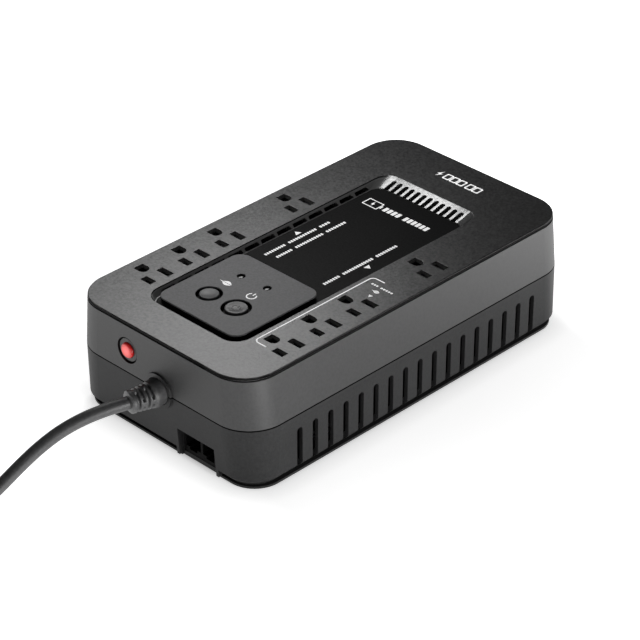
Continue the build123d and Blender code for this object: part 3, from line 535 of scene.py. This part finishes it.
def power_symbol(cx, cy, angle, size):
    """Open ring with a stroke in its gap."""
    ring = ribbon(arc(0, 0, 1.0, 128, 412, 28), 0.26)
    stroke = [(-0.13, 0.35), (0.13, 0.35), (0.13, 1.25), (-0.13, 1.25)]
    return [turned(quad, cx, cy, angle, size) for quad in ring + [stroke]]


def leaf_symbol(cx, cy, angle, size):
    """Leaf in two halves with a vein between them, and a stem."""
    swell = [(1.15 - 0.23 * i, 0.08 + 0.62 * math.sin(math.pi * i / 10)) for i in range(1, 10)]
    upper = [(1.15, 0.08)] + swell + [(-1.15, 0.08)]
    lower = [(x, -y) for x, y in reversed(upper)]
    stem = [(-1.75, -0.07), (-1.0, -0.07), (-1.0, 0.07), (-1.75, 0.07)]
    return [turned(part, cx, cy, angle, size) for part in (upper, lower, stem)]


def bolt_symbol(cx, cy, angle, size):
    """Lightning stroke as two slanted wedges."""
    top = [(0.35, 1.2), (-0.62, -0.16), (0.02, -0.16), (0.10, 0.16)]
    bottom = [(-0.35, -1.2), (0.62, 0.16), (-0.02, 0.16), (-0.10, -0.16)]
    return [turned(part, cx, cy, angle, size) for part in (top, bottom)]


def triangle(cx, cy, angle, size):
    """Arrow head that points along +X before it is turned."""
    return turned([(0.9, 0.0), (-0.6, 0.95), (-0.6, -0.95)], cx, cy, angle, size)


# ---- prints on the deck, the label and the pad -----------------------------------------------
DECK_Z, PAD_Z, CAP_Z = (node_box(name)[1][2] for name in ("top_panel", "control_pad", "power_button"))
LABEL_Z = 69.0
DISH_R, DISH_DEPTH = 28.0, 0.45
POWER_X, POWER_Y = node_box("power_button")[2][:2]
PIPE_TOP = node_box("eco_light_pipe")[1][2]
LAMPS = {name: node_box(f"{name}_light_pipe")[2][:2] for name in ("eco", "power")}


def bar_line(start, words, across0, across1, along_x=False, gap=2.6, block=1.9):
    """Row of small blocks in place of a line of print, running towards lower x or lower y."""
    bars = []
    place = start
    for length in words:
        count = max(1, round(length / block))
        pitch = length / count
        for i in range(count):
            end = place - i * pitch
            span = (end - pitch * 0.72, end)
            sides = (*span, across0, across1) if along_x else (across0, across1, *span)
            bars.append(bar(*sides))
        place -= length + gap
    return bars


def outline(x0, x1, y0, y1, width):
    """Empty rectangle drawn with four strokes."""
    corners = [(x0, y0), (x1, y0), (x1, y1), (x0, y1), (x0, y0)]
    return [stroke for a, b in zip(corners, corners[1:]) for stroke in ribbon([a, b], width)]


def deck_prints():
    """Bracket round the switched outlets, small notes beside them and the rating place."""
    corner_r = 3.0
    x0, x1, y0, y1 = -49.0, -39.8, 2.4, 94.5
    path = [(x0, y1)] + arc(x1 - corner_r, y1 - corner_r, corner_r, 90, 0, 8)
    path += arc(x1 - corner_r, y0 + corner_r, corner_r, 0, -90, 8) + [(x0, y0)]
    notes = bar_line(-44.0, [5.4, 9.6], 7.0, 8.4, along_x=True, gap=1.6)
    notes += leaf_symbol(-52.2, 12.6, 180, 1.9)
    notes.append(triangle(-52.6, 18.0, 90, 1.5))
    rating = bolt_symbol(14.6, -111.4, 180, 3.0)
    for x in (10.2, 4.8, -0.6, -7.6, -13.0):
        rating += outline(x - 4.2, x, -114.2, -108.8, 1.05)
    return ribbon(path, 0.8) + notes + rating


def label_prints():
    """Rows of bars, arrow heads and a plain battery sign on the black label."""
    prints = bar_line(24.3, [16.4, 22.6, 8.4], 23.7, 25.7)
    prints += bar_line(21.5, [12.6, 22.4, 16.0], 17.0, 19.0)
    prints += bar_line(23.7, [12.8, 24.4, 17.2], -23.1, -21.0)
    prints.append(triangle(29.2, -6.0, 0, 2.3))
    prints.append(triangle(-26.8, -7.0, 180, 2.3))
    x0, x1, y0, y1 = 16.0, 27.0, -64.6, -57.6
    prints += outline(x0, x1, y0, y1, 0.7)
    prints.append(bar(x0 - 1.6, x0 - 0.6, -62.6, -59.6))
    prints += bolt_symbol(21.5, -61.1, 200, 2.1)
    return prints + bar_line(12.5, [13.6, 19.6], -63.4, -58.9, along_x=True, block=3.3)


def add_prints():
    """All prints on the deck, the label, the pad and the power button's dished top."""
    add_print("deck_print", INK, deck_prints(), level(DECK_Z))
    add_print("label_print", INK, label_prints(), level(LABEL_Z))
    (ex, ey), (px, py) = LAMPS["eco"], LAMPS["power"]
    signs = leaf_symbol(ex, ey + 11.0, 180, 3.0) + power_symbol(px, py + 12.2, 180, 2.8)
    add_print("pad_print", INK, signs, level(PAD_Z))
    sphere_z = CAP_Z + DISH_R - DISH_DEPTH

    def dish(x, y):
        return sphere_z - math.sqrt(DISH_R ** 2 - (x - POWER_X) ** 2 - (y - POWER_Y) ** 2)

    add_print("power_sign", DARK_INK, power_symbol(POWER_X, POWER_Y, 180, 2.4), dish, body="power_key")


add_prints()


def add_lamp_lenses():
    """Dark domed lens in each lamp well."""
    rings, segments, radius, rise, foot_z = 6, 32, 2.15, 0.75, PIPE_TOP - 0.05
    for name, (cx, cy) in LAMPS.items():
        verts, faces = [(cx, cy, foot_z + rise)], []
        for i in range(1, rings + 1):
            a = math.pi / 2 * i / rings
            r, z = radius * math.sin(a), foot_z + rise * math.cos(a)
            verts += [(x, y, z) for x, y in arc(cx, cy, r, 0, 360, segments)[:-1]]
        for k in range(segments):
            faces.append((0, 1 + k, 1 + (k + 1) % segments))
        for i in range(rings - 1):
            a, b = 1 + i * segments, 1 + (i + 1) * segments
            faces += [(a + k, b + k, b + (k + 1) % segments, a + (k + 1) % segments) for k in range(segments)]
        faces.append([1 + (rings - 1) * segments + k for k in reversed(range(segments))])
        lens = add_piece(f"{name}_lens", LENS, verts, faces, smooth=True)


add_lamp_lenses()


# ---- underside -------------------------------------------------------------------------------
SCREW_X, SCREW_Y = 57.0, 104.0
DOOR_Z, SCREW_Z = (node_box(name)[0][2] for name in ("battery_door", "case_screws"))
FILM_Z, FILM_PRINT_Z = DOOR_Z - 0.04, DOOR_Z - 0.08


def add_underside():
    """Film label with dark bars on the battery door, and painted shade in the shape of cross recesses on the
    case screws.
    """
    add_print("door_label", STICKER, [bar(-30, 27, -38, 44, 3.0)], level(FILM_Z), body="door")
    rows = [[22, 9, 14], [12, 26], [30, 8, 6], [16, 16], [8, 24, 9], [26, 12], [11, 7, 20]]
    bars = []
    for i, words in enumerate(rows):
        y = 34 - i * 6.4
        bars += bar_line(24.0, words, y - 1.5, y, along_x=True, gap=1.8)
    bars += [bar(-26 + 1.1 * i, -26 + 1.1 * i + (0.35 if i % 3 else 0.8), -33, -18, 0.0) for i in range(22)]
    add_print("door_label_print", DARK_INK, bars, level(FILM_PRINT_Z), body="door")
    # Painted shade: flat dark crosses stand in for the shade inside the screws' cross recesses.
    arms = []
    for x in (-SCREW_X, SCREW_X):
        for y in (-SCREW_Y, SCREW_Y):
            for half_w, half_l in ((1.9, 0.4), (0.4, 1.9)):
                arms.append(bar(x - half_w, x + half_w, y - half_l, y + half_l, 0.1))
    add_print("screw_cross_shade", DARK_INK, arms, level(SCREW_Z))


add_underside()


# ---- strain relief ---------------------------------------------------------------------------
BOOT_START_Y = 124.6
BOOT_PROFILE = [(0.0, 9.9), (2.6, 9.9), (2.7, 8.0), (12.0, 7.95), (13.0, 7.7), (13.6, 7.6), (24.2, 6.5),
                (24.4, 6.8), (26.0, 6.6), (26.5, 6.1), (26.7, 3.7)]
BOOT_STEP, BOOT_SEGMENTS, BEND_STEPS = 0.2, 96, 12
GROOVES, GROOVE_START, GROOVE_PITCH, GROOVE_W, GROOVE_DEPTH, GROOVE_EDGE = 4, 14.6, 2.7, 1.35, 2.0, 0.5
WEB_HALF, WEB_EDGE = 0.16, 0.22                                       # as sines of the angle round the boot


def boot_axis():
    """Points along the middle of the boot: straight through the case, then on the cord's own curve."""
    points = [Vector((CORD_X, BOOT_START_Y, CORD_Z)), Vector(CORD_ROUTE[0])]
    start = Vector(CORD_ROUTE[0])
    for control, beyond in zip(CORD_ROUTE[1:3], CORD_ROUTE[2:4]):
        control = Vector(control)
        end = (control + Vector(beyond)) / 2
        for i in range(1, BEND_STEPS + 1):
            t = i / BEND_STEPS
            points.append(start * (1 - t) ** 2 + control * 2 * t * (1 - t) + end * t * t)
        start = end
    return points


def point_on(points, distance):
    """Place and direction at a distance along a polyline."""
    for a, b in zip(points, points[1:]):
        run = (b - a).length
        if distance <= run:
            return a + (b - a) * (distance / run), (b - a).normalized()
        distance -= run
    return points[-1], (points[-1] - points[-2]).normalized()


def boot_radius(s, angle):
    """Outer radius of the boot: the profile less the slots, which leave webs on alternate sides."""
    for (s0, r0), (s1, r1) in zip(BOOT_PROFILE, BOOT_PROFILE[1:]):
        if s <= s1:
            radius = r0 + (r1 - r0) * (s - s0) / (s1 - s0)
            break
    else:
        return BOOT_PROFILE[-1][1]
    for i in range(GROOVES):
        off = abs(s - GROOVE_START - i * GROOVE_PITCH)
        cut = 1 - smoothstep((off - GROOVE_W / 2) / GROOVE_EDGE + 0.5)
        from_web = abs(math.sin(angle + i * math.pi / 2))
        radius -= GROOVE_DEPTH * cut * smoothstep((from_web - WEB_HALF) / WEB_EDGE)
    return radius


def add_boot():
    """Moulded strain relief with a smooth collar, staggered slots and an end ring."""
    axis = boot_axis()
    segments = BOOT_SEGMENTS
    verts, faces = [], []
    rings = int(round(BOOT_PROFILE[-1][0] / BOOT_STEP)) + 1
    for i in range(rings):
        s = i * BOOT_STEP
        centre, direction = point_on(axis, s)
        side = direction.cross(Vector((0, 0, 1))).normalized()
        lift = side.cross(direction)
        for k in range(segments):
            a = 2 * math.pi * k / segments
            verts.append(centre + (side * math.cos(a) + lift * math.sin(a)) * boot_radius(s, a))
    for i in range(rings - 1):
        a, b = i * segments, (i + 1) * segments
        faces += [(a + k, a + (k + 1) % segments, b + (k + 1) % segments, b + k) for k in range(segments)]
    faces.append(list(reversed(range(segments))))
    faces.append([(rings - 1) * segments + k for k in range(segments)])
    boot = add_piece("cord_boot", CORD_PVC, verts, faces, smooth=True)
    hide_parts("strain_relief")


add_boot()
cord.data.materials.append(CORD_PVC)
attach(cord, "case")
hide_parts("power_cord", "cord_coil", "cord_end")


# ---- studio ----------------------------------------------------------------------------------
CASE_HALF_W, CASE_HALF_L = 0.050, 0.105                               # to the centres of the rounded corners
FLOOR_HALF = 40.0
GLOW_REACH, GLOW_FULL = 0.6, 1.1
# distance from the case as a share of the reach, and the share of the full glow there; the low part near the
# case is a painted contact shadow
GLOW_AND_SHADOW_CURVE = [(0.0, 0.0), (0.028, 0.0), (0.033, 0.36), (0.040, 0.55), (0.060, 0.68), (0.16, 0.74),
              (0.5, 0.92), (1.0, 1.0)]
END_GLOW_START, END_GLOW, END_GLOW_MOST = 0.12, 7.0, 0.85
HORIZON_LIGHT, ZENITH_LIGHT, HORIZON_FADE = 0.74, 0.05, (0.11, 0.18)
SOFTBOXES = {
    # name: centre, aim, width, height, watts
    "overhead_close": ((0.205, -0.05, 0.30), (0.0, 0.05, 0.07), 0.15, 0.15, 0.345),
    "overhead_far": ((0.21, -0.18, 0.34), (0.0, 0.0, 0.07), 0.09, 0.08, 0.215),
    "low_side": ((-0.25, -0.30, 0.05), (-0.07, -0.10, 0.04), 0.12, 0.08, 0.35),
    "low_side_wide": ((-0.35, -0.22, 0.06), (-0.07, -0.10, 0.04), 0.15, 0.08, 0.20),
    "corner_strip": ((-0.30, 0.14, 0.05), (-0.07, 0.12, 0.04), 0.03, 0.08, 0.36),
}


def floor_emission_painted_shadow(tree, coords):
    """Emission strength with a painted contact shadow: none under the case, soft beside it, full further away
    and more past both ends.
    """
    axes = split_axes(tree, coords)
    distance = rectangle_distance(tree, axes, CASE_HALF_W, CASE_HALF_L)
    curve = tree.nodes.new("ShaderNodeFloatCurve")
    scaled = node_math(tree, "DIVIDE", distance, GLOW_REACH)
    scaled.node.use_clamp = True
    tree.links.new(scaled, curve.inputs["Value"])
    points = curve.mapping.curves[0].points
    points[0].location, points[1].location = GLOW_AND_SHADOW_CURVE[0], GLOW_AND_SHADOW_CURVE[-1]
    for place in GLOW_AND_SHADOW_CURVE[1:-1]:
        points.new(*place)
    for point in points:
        point.handle_type = "VECTOR"
    curve.mapping.update()
    total = node_math(tree, "MULTIPLY", curve.outputs["Value"], GLOW_FULL)
    along = node_math(tree, "ABSOLUTE", axes["Y"])
    beyond_end = node_math(tree, "MAXIMUM", node_math(tree, "SUBTRACT", along, END_GLOW_START), 0.0)
    extra = node_math(tree, "MINIMUM", node_math(tree, "MULTIPLY", beyond_end, END_GLOW), END_GLOW_MOST)
    return node_math(tree, "ADD", total, extra)


def add_floor():
    """Large pale floor that also glows, as a lit sweep does, with a painted contact shadow round the case."""
    mesh = bpy.data.meshes.new("floor")
    corners = [(-1, -1), (1, -1), (1, 1), (-1, 1)]
    mesh.from_pydata([(x * FLOOR_HALF, y * FLOOR_HALF, 0.0) for x, y in corners], [], [(0, 1, 2, 3)])
    floor = bpy.data.objects.new("floor", mesh)
    bpy.context.scene.collection.objects.link(floor)
    mat, tree, bsdf = new_material("floor")
    coords = tree.nodes.new("ShaderNodeTexCoord")
    cloud = noise(tree, coords, scale=3.0)
    tone = ramp(tree, cloud.outputs["Fac"], [(0.3, (0.86, 0.86, 0.86)), (0.7, (0.88, 0.88, 0.88))])
    tree.links.new(tone.outputs["Color"], bsdf.inputs["Base Color"])
    bsdf.inputs["Roughness"].default_value = 0.9
    bsdf.inputs["Emission Color"].default_value = (1.0, 1.0, 1.0, 1.0)
    tree.links.new(floor_emission_painted_shadow(tree, coords), bsdf.inputs["Emission Strength"])
    mesh.materials.append(mat)


def add_softbox(name, centre, aim, width, height, watts):
    """Rectangular area light, placed and aimed in metres."""
    data = bpy.data.lights.new(name, "AREA")
    data.shape = "RECTANGLE"
    data.size, data.size_y = width, height
    data.energy = watts
    light = bpy.data.objects.new(name, data)
    direction = Vector(aim) - Vector(centre)
    light.visible_camera = False
    light.matrix_world = Matrix.Translation(centre) @ direction.to_track_quat("-Z", "Y").to_matrix().to_4x4()
    bpy.context.scene.collection.objects.link(light)


def add_world():
    """White horizon band with a dark sky, so that only the sides see the bright surroundings."""
    world = bpy.data.worlds.new("studio")
    world.use_nodes = True
    tree = world.node_tree
    background = tree.nodes["Background"]
    coords = tree.nodes.new("ShaderNodeTexCoord")
    axes = split_axes(tree, coords, "Generated")
    strength = node_step(tree, axes["Z"], *HORIZON_FADE, HORIZON_LIGHT, ZENITH_LIGHT)
    tree.links.new(strength, background.inputs["Strength"])
    background.inputs["Color"].default_value = (1.0, 1.0, 1.0, 1.0)
    bpy.context.scene.world = world


def add_studio():
    """World, floor and lights round the object."""
    add_world()
    add_floor()
    for name, (centre, aim, width, height, watts) in SOFTBOXES.items():
        add_softbox(name, centre, aim, width, height, watts)
    bpy.context.scene.view_settings.view_transform = "Standard"


add_studio()
